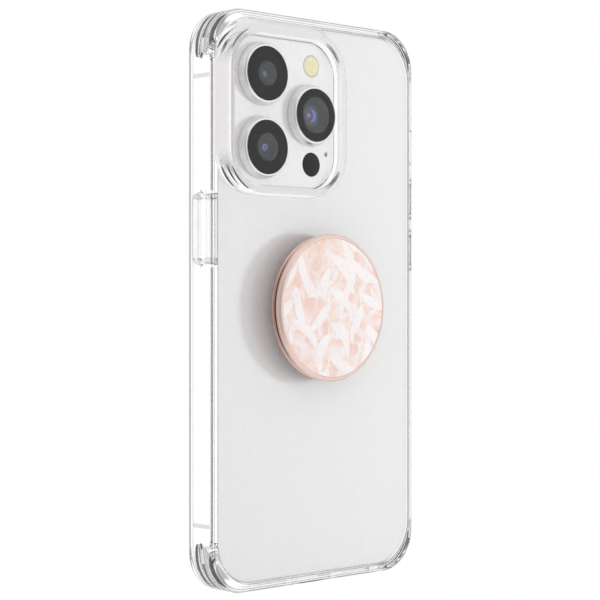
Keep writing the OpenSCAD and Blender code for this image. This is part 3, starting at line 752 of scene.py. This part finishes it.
def bottom_cutouts():
    """Cutters through the bottom wall of the case, for the plug and for the two rows of sound holes."""
    low = case_low[2]
    plug, sound = (6.7, 3.4), (6.2, 1.7)
    for x, size in ((0, plug), (-SPEAKER_X, sound), (SPEAKER_X, sound)):
        outline = stadium(*size, (x, phone_mid[1]))
        yield stack(outline, [(-0.35, low - 0.3), (0, low + 0.4), (0, low + 3.2)], "z")


window_mid = middle("camera_plateau")[XZ]
window_half = half("camera_plateau")[XZ] + 0.25
WINDOW_R = 9.55


def case_back_panel():
    """The hard back, with its window for the cameras. The band is moulded to its edge, and the grey seam along
    it is painted shade.
    """
    low, high = span("case_back_panel")
    glued = low[1] + 0.6
    panel = stack(phone_outline, [(0.4, low[1] + GAP), (0, low[1] + GAP + 0.1), (0, glued),
                                  (-0.01, high[1] - seam), (0.05, high[1])])
    window = Outline(*window_half, WINDOW_R, window_mid)
    opening = stack(window, [(0, low[1] - 1), (0, high[1] + 1)])
    back = piece("clear_back_panel", [panel], panel_clear, "clear_case", "case_back_panel", cuts=[opening])

    def side(place, normal):
        in_window = all(abs(np.array((place.x, place.z)) - window_mid) < window_half + 0.5)
        return 1 if place.y < glued and abs(normal.y) < 0.5 and not in_window else 0

    add_looks(back, [seam_painted_shade], side)


def case_camera_guard():
    """A raised frame round the cameras. Its outer flank is steep on two sides and slopes on two."""
    top = span("case_camera_guard")[1][1]
    wall = 2.0
    foot = back_y + HAIR
    window = Outline(*window_half, WINDOW_R, window_mid, steps=16)
    inner = [(0, foot), (0, top - 0.35), (0.1, top - 0.1), (0.35, top)]
    steep = [*inner, (wall - 0.5, top), (wall - 0.15, top - 0.12), (wall, top - 0.45),
             (wall + 0.25, foot + 0.5), (wall + 0.5, foot)]
    sloped = [*inner, (wall - 0.6, top), (wall - 0.1, top - 0.15), (wall + 0.3, top - 0.45),
              (wall + 2.1, foot + 1.3), (wall + 2.4, foot)]
    share = (np.maximum(window.directions, 0) ** 2).sum(1)
    rings = []
    for (d0, y0), (d1, y1) in zip(steep, sloped):
        flat = window.inset(-(d0 + (d1 - d0) * share))
        rings.append(np.stack([flat[:, 0], y0 + (y1 - y0) * share, flat[:, 1]], 1))
    guard = build("clear_camera_guard", [skin(rings, loop=True)])
    pockets = []
    for signs in CORNERS:
        near = WINDOW_R + (0.45 if signs[0] < 0 else 1.35)
        pockets.append(arc_pocket(window_mid + signs * (window_half - WINDOW_R), signs, (near, near + 0.22),
                                  (top - 1.1, top - 0.6), (25, 68), (20, 20)))
    count = add_hollows(guard, pockets)
    settle(guard, case_clear, "clear_case", "case_camera_guard", angle=40)
    strip_x = window_mid[0] + window_half[0] - 3

    def side(place, normal):
        return 1 if place.x > strip_x and normal.x > 0.25 else 0

    # every face of the guard's corner pockets is painted dark shade
    add_looks(guard, (guard_frost, dark_painted_shade), side, [2] * count)


def key_cover(node, body):
    """A soft bar over a key, crinkled at both ends where it bends."""
    size, place = half(node), middle(node)
    side = np.sign(place[0])
    near, far = place[0] - side * (size[0] - HAIR), place[0] + side * size[0]
    levels = [(0.3, near), (0, near), (0, far - side * 0.45, 0.3), (0.45, far, 0.3), (1.4, far)]
    name = node.replace("case_", "")
    bar = stack(stadium(size[1], size[2], place[1:]), levels, "x")
    cover = piece("clear_" + name, [bar], case_clear, "clear_case", node, body)
    reach = size[2] - 2.4
    web = joined_plastic(name + "_web", place[2], reach)
    top = joined_plastic(name + "_top", place[2], reach, 1.42, (0.53, 0.62))
    add_looks(cover, (web, top), lambda spot, normal: 1 if abs(normal.x) < 0.5 else 2)


# ---------- the grip ----------

def grip():
    """The folded grip, from its pad out to its printed face. Each profile is (radius, height, corner)."""
    def turned(name, profile, look, slot, body, node):
        piece(name, [lathe(profile, fine=5)], look, slot, node, body, angle=40)

    def ring(name, profile, look, slot, body, node):
        piece(name, [lathe(profile, loop=True, fine=5)], look, slot, node, body, angle=40)

    pad = span("grip_adhesive_pad")[1]
    base = span("grip_base")[1]
    well_r, well_floor = base[0] - 1.25, 1.2
    turned("grip_pad", [(0, HAIR), (pad[0], HAIR, 0.1), (pad[0], pad[1] - 0.01, 0.1), (0, pad[1] - 0.01)],
           pad_foam, "grip_white", "root", "grip_adhesive_pad")
    turned("grip_base_disc", [(0, pad[1]), (base[0], pad[1], 0.2), (base[0], base[1], 0.2),
                              (well_r, base[1], 0.1), (well_r, well_floor, 0.1), (0, well_floor)],
           grip_plastic, "grip_white", "root", "grip_base")
    flange_r, flange_top = span("grip_base_ring")[1][:2]
    flange_foot = base[1] + 0.01
    bore = 14.6
    ring("grip_lower_ring", [(bore, flange_foot), (flange_r - 0.1, flange_foot, 0.2),
                             (flange_r, flange_top - 0.35, 0.3), (flange_r - 0.55, flange_top, 0.3),
                             (bore, flange_top, 0.1)],
         rose_gold_painted_shade, "grip_metal", "root", "grip_base_ring")
    neck_r, neck_top = span("accordion_outer_ring")[1][:2]
    neck_foot = flange_top + 0.1
    ring("neck_outer_ring", [(bore - 1, base[1]), (bore - 0.08, base[1]), (bore - 0.08, neck_foot),
                             (neck_r, neck_foot, 0.2), (neck_r, neck_top, 0.25), (bore - 1, neck_top, 0.2)],
         elastomer_with_painted_shade, "grip_soft", "grip_rotor", "accordion_outer_ring")
    wall = 0.8
    for level, body in (("middle", "grip_middle"), ("inner", "grip_inner")):
        low, high = span(f"accordion_{level}_ring")
        r = high[0]
        ring(f"neck_{level}_ring", [(r - wall, low[1], 0.2), (r, low[1], 0.2),
                                    (r, high[1], 0.3), (r - wall, high[1], 0.3)],
             elastomer_with_painted_shade, "grip_soft", body, f"accordion_{level}_ring")
    membrane("outer", 11.05)
    membrane("middle", 7.65)
    membrane("inner", 4.25)
    low, high = span("grip_platform")
    under = high[1] - 0.6
    stem, hole = 4.2, 2.6
    turned("grip_top_plate", [(0, high[1] - 0.01), (high[0], high[1] - 0.01), (high[0], under, 0.15),
                              (stem + 0.4, under, 0.3), (stem, under - 0.5, 0.3), (stem, low[1], 0.25),
                              (hole, low[1], 0.25), (hole, under, 0.2), (0, under)],
           grip_plastic, "grip_white", "grip_button", "grip_platform")
    foot = span("grip_rim")[0][1]
    r, top = span("grip_rim")[1][:2]
    inner, ledge = r - 1.1, top - 0.39
    ring("grip_upper_rim", [(inner - 0.6, foot), (r - 0.5, foot, 0.3), (r - 0.05, foot + 0.45, 0.3),
                            (r, top - 0.75, 0.35), (r - 0.55, top, 0.35), (inner, top, 0.08),
                            (inner, ledge), (inner - 0.6, ledge)],
         rose_metal, "grip_metal", "grip_button", "grip_rim")
    foot = span("grip_face")[0][1]
    r, top = span("grip_face")[1][:2]
    turned("pearl_face", [(0, foot), (r, foot), (r, top - 0.03, 0.03), (r - 0.05, top), (0, top)],
           pearl, "grip_inlay", "grip_button", "grip_face")
    leaves(r - 0.25, top)


def membrane(level, inner_r):
    """A thin web between two stages, built in one shape and fixed to no body. On the real grip it turns inside
    out as the inner one slides up.
    """
    low, high = span(f"accordion_{level}_web")
    outer_r = high[0]
    thick = 0.4
    drop = low[1] + thick - high[1]
    top = [(outer_r + (inner_r - outer_r) * t, high[1] + drop * (t * t * (3 - 2 * t)))
           for t in np.linspace(0, 1, 14)]
    bottom = [(r, y - thick) for r, y in reversed(top)]
    web = build(f"neck_{level}_web", [lathe(top + bottom, loop=True)])
    settle(web, elastomer_with_painted_shade, "grip_soft", f"accordion_{level}_web", body=None, angle=60)
    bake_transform(web)


def leaf(root, heading, length, width, bend, wave):
    """Outline of one curved leaf in (x, z): broad in the middle, wavy, with a drawn-out tip."""
    count = 18
    edges = [], []
    spot = np.array(root, float)
    for k in range(count + 1):
        t = k / count
        angle = heading + bend * t + 0.35 * math.sin(wave + 5 * t)
        along = np.array((math.cos(angle), math.sin(angle)))
        across = np.array((-along[1], along[0]))
        swell = math.sin(math.pi * t ** 0.75) ** 0.9 if 0 < t < 1 else 0
        for edge, side, ripple in zip(edges, (1, -1), (wave + 11 * t, 2 - wave + 9 * t)):
            edge.append(spot + across * side * (width / 2 * swell * (1 + 0.12 * math.sin(ripple)) + 0.03))
        spot = spot + along * length / count
    return edges[0] + edges[1][::-1]


def within(limit, outline, sides=72):
    """The part of an outline that lies within a radius."""
    for k in range(sides):
        turn = 2 * math.pi * k / sides
        outward = np.array((math.cos(turn), math.sin(turn)))
        kept = []
        for here, following in zip(outline, outline[1:] + outline[:1]):
            room, next_room = limit - here @ outward, limit - following @ outward
            if room >= 0:
                kept.append(here)
            if (room < 0) != (next_room < 0):
                kept.append(here + (following - here) * room / (room - next_room))
        outline = kept
    return outline


SPRIGS = (((1.5, 14.5), -1.6, 0.03, 4), ((-2.5, 21), -2.05, 0.1, 4), ((13, 15), -1.4, -0.1, 3))


def leaves(limit, level):
    """Sprigs of white leaves printed on the face. Each shape lies a hair higher than the last."""
    draw = random.Random(5)
    shapes = []
    # each sprig: its root, its heading and how much it turns per step, in mm and radians
    for root, heading, turning, steps in SPRIGS:
        spot = np.array(root, float)
        for k in range(steps):
            along = np.array((math.cos(heading), math.sin(heading)))
            shapes.append(leaf(spot, heading, 8.6, 0.5, 0, 0))
            for side in (-1, 1):
                start = spot + along * (2 + side * 1.8)
                lean = side * draw.uniform(0.5, 0.85)
                shapes.append(leaf(start, heading + lean, draw.uniform(12.5, 16), draw.uniform(2.7, 3.3),
                                   side * draw.uniform(-0.5, 0.1), draw.uniform(0, 6)))
            spot = spot + along * 9
            heading += turning
    solids = []
    for k, outline in enumerate(shapes):
        flat = within(limit, outline)
        if len(flat) < 3:
            continue
        top = level + 0.012 + 0.0004 * k
        solids.append(skin([lay(flat, level - 0.01, "y"), lay(flat, top, "y")]))
    piece("printed_leaves", solids, leaf_look, "grip_inlay", body="grip_button")


# ---------- the phone's outside ----------

BAND_WALL = 1.6
band_profile = [(d, phone_mid[1] + y) for d, y in (
    (0, -3.35), (0, 3.35), (0.25, 3.6), (0.3, 3.6), (0.3, 3.02), (BAND_WALL, 3.02),
    (BAND_WALL, -3.02), (0.3, -3.02), (0.3, -3.6), (0.25, -3.6))]


def side_path(side, low, high):
    x = side * phone_half[0]
    return [((x, low), (side, 0)), ((x, high), (side, 0))]


def end_path(end, from_z, steps=24):
    """From one long side, round both corners, to the other: end is 1 for the top and -1 for the bottom."""
    corner = phone_half[XZ] - PHONE_R
    path = [((phone_half[0], from_z), (1, 0))]
    for side in (1, -1):
        for k in range(steps + 1):
            angle = math.radians(90) * (k / steps if side > 0 else 1 - k / steps)
            outward = np.array((side * math.cos(angle), end * math.sin(angle)))
            centre = phone_mid[XZ] + corner * (side, end)
            path.append((centre + outward * PHONE_R, outward))
    path.append(((-phone_half[0], from_z), (-1, 0)))
    return path


def bands():
    """The metal band in four stretches, pierced for the keys and the ports, and the breaks between them."""
    for side, node, keys in ((1, "side_band_power", ("power_key",)),
                             (-1, "side_band_volume", ("volume_up_key", "volume_down_key"))):
        low, high = span(node)
        wall = phone_half[0]
        cuts = []
        for key in keys:
            size, place = half(key), middle(key)
            slot = stadium(size[1] + GAP, size[2] + GAP, place[1:])
            levels = [(0, side * (wall - 3)), (0, side * (wall - 0.12)), (-0.2, side * (wall + 0.1))]
            cuts.append(stack(slot, levels, "x"))
        if side < 0:
            slot = Outline(1.65, 2.55, 1.05, (phone_mid[1], middle("mute_switch")[2]))
            cuts.append(stack(slot, [(0, 3 - wall), (0, -wall - 1)], "x"))
        piece(node.replace("side_band", "steel_band"), [run(side_path(side, low[2], high[2]), band_profile)],
              steel, "band_steel", node, cuts=cuts)
    side_low, side_high = (corner[2] for corner in span("side_band_power"))
    top_low = span("top_band")[0][2]
    bottom_high = span("bottom_band")[1][2]
    piece("steel_band_top", [run(end_path(1, top_low), band_profile)], steel, "band_steel", "top_band")
    piece("steel_band_bottom", [run(end_path(-1, bottom_high), band_profile)], steel, "band_steel",
          "bottom_band", cuts=list(bottom_holes()))
    breaks = [run(side_path(side, low + 0.005, high - 0.005), band_profile)
              for side in (-1, 1) for low, high in ((bottom_high, side_low), (side_high, top_low))]
    piece("band_breaks", breaks, break_look, "break_plastic", "antenna_breaks")


def bottom_holes():
    """Cutters through the bottom band: the port, a screw on each side of it, and two rows of sound holes."""
    low = phone_mid[2] - phone_half[2]

    def cutter(x, size, flare, below, above):
        levels = [(-flare, low - below), (0, low + above), (0, low + 3)]
        return stack(stadium(*size, (x, phone_mid[1])), levels, "z")

    yield cutter(0, (4.52, 1.68), 0.25, 0.2, 0.15)
    for side in (-1, 1):
        yield cutter(side * 7.3, (0.75, 0.75), 0.1, 0.1, 0.1)
        for k in range(-2, 3):
            yield cutter(side * SPEAKER_X + k * 2.5, (0.7, 0.7), 0.12, 0.1, 0.12)


def side_keys():
    for node in ("power_key", "volume_up_key", "volume_down_key", "mute_switch"):
        size, place = half(node), middle(node)
        side = np.sign(place[0])
        near, far = place[0] - side * size[0], place[0] + side * size[0]
        levels = [(0.02, near), (0.02, far - side * 0.3, 0.2), (0.25, far, 0.2), (0.6, far)]
        key = stack(stadium(size[1], size[2], place[1:]), levels, "x")
        piece(f"{node}_cap", [key], steel, "band_steel", node, frame["nodes"][node].get("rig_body"))


# each lens: the radius of its front glass, the radius of its inner element and the tint of the reflection
# painted on it
LENSES = {"upper": (3.25, 0.95, (0.09, 0.09, 0.34)), "middle": (4.9, 2.9, (0.10, 0.15, 0.55)),
          "lower": (3.65, 1.2, (0.13, 0.14, 0.50))}
MIC = np.array((-2.4, phone_mid[2] + 39.5))
COVER_R = 7.0       # the part of a cover glass that shows inside its ring


def holes_through(node, *holes):
    """Cutters through a node for its three lenses and for more holes of (place, radius)."""
    low, high = span(node)
    foot, top = low[1] - 3, high[1] + 3
    lenses = [(middle(f"{which}_lens_ring")[XZ], 7.35) for which in LENSES]
    return [lathe([(0, foot), (r, foot), (r, top), (0, top)], place, steps=96)
            for place, r in (*lenses, *holes)]


def rear_faces():
    """The frosted back and the plateau of the cameras."""
    flash, depth = middle("flash_window")[XZ], middle("depth_sensor_window")[XZ]
    low, high = span("rear_glass")
    outline = Outline(*half("rear_glass")[XZ], PHONE_R - 0.35, phone_mid[XZ], steps=20)
    levels = [(0.2, low[1]), (0, low[1] + 0.15), (0, high[1], 0.35), (0.6, high[1])]
    piece("rear_glass_frosted", [stack(outline, levels, fine=5)], frost, "rear_frost", "rear_glass",
          cuts=holes_through("rear_glass", (flash, 1.8), (depth, 2.6)))
    low, high = span("camera_plateau")
    outline = Outline(*half("camera_plateau")[XZ], 9.3, window_mid, steps=16)
    levels = [(0, low[1]), (0, high[1], 0.6), (1.2, high[1])]
    piece("camera_plateau_glass", [stack(outline, levels, fine=6)], plateau_look, "plateau_glass",
          "camera_plateau", cuts=holes_through("camera_plateau", (flash, 2.95), (depth, 3.25), (MIC, 0.62)))


def lens_ring(which, place, foot, top, seat):
    """The steel ring of a lens: polished on top and satin on its sides, whose steel is tinted darker as painted
    shade.
    """
    low = span("upper_lens_ring")[0][1]
    bore = 5.9
    profile = [(bore, low), (7.3, low), (7.3, foot + 0.01), (8.3, foot + 0.01, 0.1), (8.25, foot + 0.4),
               (7.75, top - 0.35, 0.3), (7.5, top, 0.12), (COVER_R + GAP, top, 0.06), (COVER_R + GAP, seat),
               (bore, seat)]
    shape = lathe(profile, place, loop=True)
    node = f"{which}_lens_ring"
    ring = piece(f"{which}_lens_steel_ring", [shape], lens_polish, "lens_steel", node, angle=50)
    add_looks(ring, [lens_satin_painted_shade], lambda spot, normal: 1 if normal.y < 0.6 else 0)


def lens_tube(which, place):
    """A lens barrel with a flared black head, and the inner lens at its bottom, with reflections of its coated
    glass painted on it.
    """
    open_r, inner_r, tint = LENSES[which]
    low, high = span(f"{which}_lens_barrel")
    foot, front = low[1], high[1]
    tube_r = high[0] - place[0]
    head_r = max(tube_r, open_r + 0.45)
    wide = which == "middle"
    deep = front - (0.7 if wide else 0.3)
    tube = [(0, foot), (tube_r, foot, 0.2), (tube_r, front - 1.1), (head_r, front - 0.6),
            (head_r, front, 0.1), (open_r, front, 0.05), (open_r, front - 0.15), (inner_r + 0.15, deep),
            (0, deep)]
    piece(f"{which}_lens_tube", [lathe(tube, place)], lens_mask, "lens_black",
          f"{which}_lens_barrel", f"{which}_focus")
    dome = [(inner_r * math.sin(a), deep + 0.1 + 0.35 * math.cos(a))
            for a in np.linspace(math.pi / 2, 0.12, 14)]
    bead = [(0, deep + HAIR), (inner_r, deep + HAIR), *dome, (0, deep + 0.45)]
    name = f"{which}_lens_painted_reflection"
    painted_reflection = (wide_painted_reflection_lens(name, place, tint, (0.30, 0.12, 0.36)) if wide
               else painted_reflection_lens(name, place, inner_r, tint))
    piece(f"{which}_inner_lens", [lathe(bead, place)], painted_reflection, "lens_glass", body=f"{which}_focus", angle=60)


def cameras():
    """The three lenses with their cover glasses, the flash, the depth sensor and the microphone."""
    top, foot = span("upper_lens_ring")[1][1], span("camera_plateau")[1][1]
    seat = span("lens_covers")[0][1] - 0.06
    ink = top - 0.02
    covers, masks, windows = [], [], []
    for which, (open_r, _, _) in LENSES.items():
        place = middle(f"{which}_lens_ring")[XZ]
        lens_ring(which, place, foot, top, seat)
        mask = [(open_r, seat + 0.01), (COVER_R, seat + 0.01), (COVER_R, ink), (open_r, ink)]
        window = [(0, top - 0.05), (open_r - 0.01, top - 0.05), (open_r - 0.01, ink), (0, ink)]
        rim = COVER_R + 0.12
        cover = [(0, top + 0.02), (rim, top + 0.02), (rim, top + 0.2, 0.12), (0, top + 0.2)]
        masks.append(lathe(mask, place, loop=True))
        windows.append(lathe(window, place))
        covers.append(lathe(cover, place))
        lens_tube(which, place)
    piece("lens_cover_glasses", covers, cover_glass, "lens_glass", "lens_covers")
    piece("lens_cover_masks", masks, lens_mask, "lens_black")
    piece("lens_cover_windows", windows, window_glass, "lens_glass")
    for node, name, look, slot in (
            ("flash_window", "flash_lens_window", flash_look, "flash_lens"),
            ("depth_sensor_window", "depth_sensor_glass", sensor_look, "sensor_black")):
        low, high = span(node)
        r = half(node)[0]
        profile = [(0, low[1]), (r, low[1]), (r, high[1], 0.08), (0, high[1])]
        piece(name, [lathe(profile, middle(node)[XZ])], look, slot, node)
    profile = [(0, foot - 0.4), (0.6, foot - 0.4), (0.6, foot - 0.12, 0.05), (0, foot - 0.1)]
    piece("rear_microphone_mesh", [lathe(profile, MIC, steps=32)], mesh_look, "speaker_black")


def front():
    """The screen's glass with its printed border, and the mesh of the earpiece."""
    low, high = span("front_glass")
    glass_outline = Outline(*half("front_glass")[XZ], PHONE_R - 0.35, middle("front_glass")[XZ], steps=20)
    levels = [(0.6, low[1]), (0, low[1], 0.35), (0, high[1] - 0.02), (0.1, high[1] - 0.02)]
    slit = stack(Outline(5, 0.75, 0.3, (0, high[2])), [(0, low[1] - 1), (0, high[1] + 1)])
    piece("screen_cover_glass", [stack(glass_outline, levels, fine=5)], screen_look, "screen_glass",
          "front_glass", cuts=[slit])
    panel = Outline(*half("oled_panel")[XZ], PHONE_R - 1.8, middle("oled_panel")[XZ], steps=20)
    edge, opening = glass_outline.inset(0.12), panel.inset(-0.06)
    face, back = high[1] + HAIR, high[1] + 0.09
    border = skin([lay(flat, y, "y") for flat, y in ((edge, face), (edge, back), (opening, back),
                                                     (opening, face))], loop=True)
    piece("screen_border_print", [border], border_ink, "screen_glass")
    mesh_y = low[1] + 0.35
    mesh = stack(Outline(4.9, 0.6, 0.3, (0, high[2] - 0.15)), [(0, mesh_y), (0, mesh_y + 0.2)])
    piece("earpiece_mesh", [mesh], mesh_look, "speaker_black")


case_bumper()
case_back_panel()
case_camera_guard()
for key in KEYS:
    key_cover(f"case_{key}_cover", f"{key}_press")
grip()
bands()
side_keys()
rear_faces()
cameras()
front()
finish_inner_nodes()


# ---------- the studio ----------

SOFT_LIGHT = 0.845


def set_up(name, data, place, direction, axis):
    """Adds a lamp or a camera at a place in metres, with one of its axes along a direction."""
    obj = add_object(name, data)
    obj.location = place
    obj.rotation_mode = "QUATERNION"
    obj.rotation_quaternion = direction.to_track_quat(axis, "Y")
    return obj


def studio():
    """A bright white room with a darker side behind the camera, and one soft lamp that grazes the back."""
    world = bpy.data.worlds.new("studio")
    bpy.context.scene.world = world
    world.use_nodes = True
    nodes = Nodes(world.node_tree)
    direction = nodes.node("TexCoord").outputs["Generated"]

    def facing(*towards):
        return nodes.vector("DOT_PRODUCT", direction, towards, output="Value")

    dark_room = nodes.ramp(facing(0.70, 0.71, 0), (0.55, 1.0), (0.85, 0.45))
    dark_edge = nodes.ramp(facing(-0.69, -0.72, 0), (0.45, 1.0), (0.60, 0.45), (0.80, 0.45), (0.92, 1.0))
    wall = nodes.ramp(facing(0.70, -0.71, 0), (0.3, 0.0), (0.9, 1.0))
    bright_wall = nodes.math("MULTIPLY_ADD", wall, 0.25, 1.0)
    room = nodes.math("MULTIPLY", nodes.math("MULTIPLY", dark_room, dark_edge), bright_wall)
    path = nodes.node("LightPath").outputs
    seen = path["Is Camera Ray"]
    mirrored = nodes.math("MAXIMUM", path["Is Glossy Ray"], path["Is Transmission Ray"])
    extra = nodes.math("MULTIPLY", mirrored, nodes.math("SUBTRACT", room, SOFT_LIGHT))
    strength = nodes.math("MAXIMUM", nodes.math("ADD", extra, SOFT_LIGHT), seen)
    colour = nodes.mix(nodes.math("MAXIMUM", mirrored, seen), (1.0, 0.97, 0.963), (1, 1, 1))
    background = world.node_tree.nodes["Background"].inputs
    nodes.put(strength, background["Strength"])
    nodes.put(colour, background["Color"])

    lamp = bpy.data.lights.new("key_softbox", "AREA")
    lamp.shape = "DISK"
    lamp.size = 0.09
    lamp.energy = 1.38
    lamp.color = (0.95, 1.0, 1.0)
    towards = Vector((-0.75, 0.66, 0)).normalized()
    key = set_up("key_softbox", lamp, towards * 0.6, towards, "Z")
    key.visible_glossy = False
    key.visible_transmission = False

    reach, ground = 3000, case_low[2]
    corners = [(x * reach, y * reach, ground) for x, y in ((-1, -1), (1, -1), (1, 1), (-1, 1))]
    floor = build("studio_floor", [(corners, [(0, 1, 2, 3)])])
    look = Look("pale_floor", roughness=0.8)
    look.mottle(look.noise(60, detail=4), (0.88, 0.88, 0.88), (0.92, 0.92, 0.92))
    glow = look.node("Emission", {"Color": (1, 1, 1)}).outputs[0]
    camera_ray = look.node("LightPath").outputs["Is Camera Ray"]
    look.show(look.node("MixShader", {0: camera_ray, 1: look.shader.outputs[0], 2: glow}).outputs[0])
    floor.data.materials.append(look.material)
    floor.visible_glossy = False
    floor.visible_transmission = False


def camera():
    """A long lens at the phone's own height, behind it and to its power-key side."""
    lens = bpy.data.cameras.new("camera")
    lens.lens = 102.6
    lens.sensor_width = 36
    bpy.context.scene.camera = set_up("camera", lens, (0.3206, 0.3318, 0.00195),
                                      Vector((-0.6871, -0.7266, 0.0003)), "-Z")


studio()
camera()
scene = bpy.context.scene
scene.view_settings.view_transform = "Standard"
scene.cycles.max_bounces = 24
scene.cycles.transmission_bounces = 20
scene.cycles.glossy_bounces = 16
scene.cycles.transparent_max_bounces = 24
scene.cycles.caustics_refractive = False
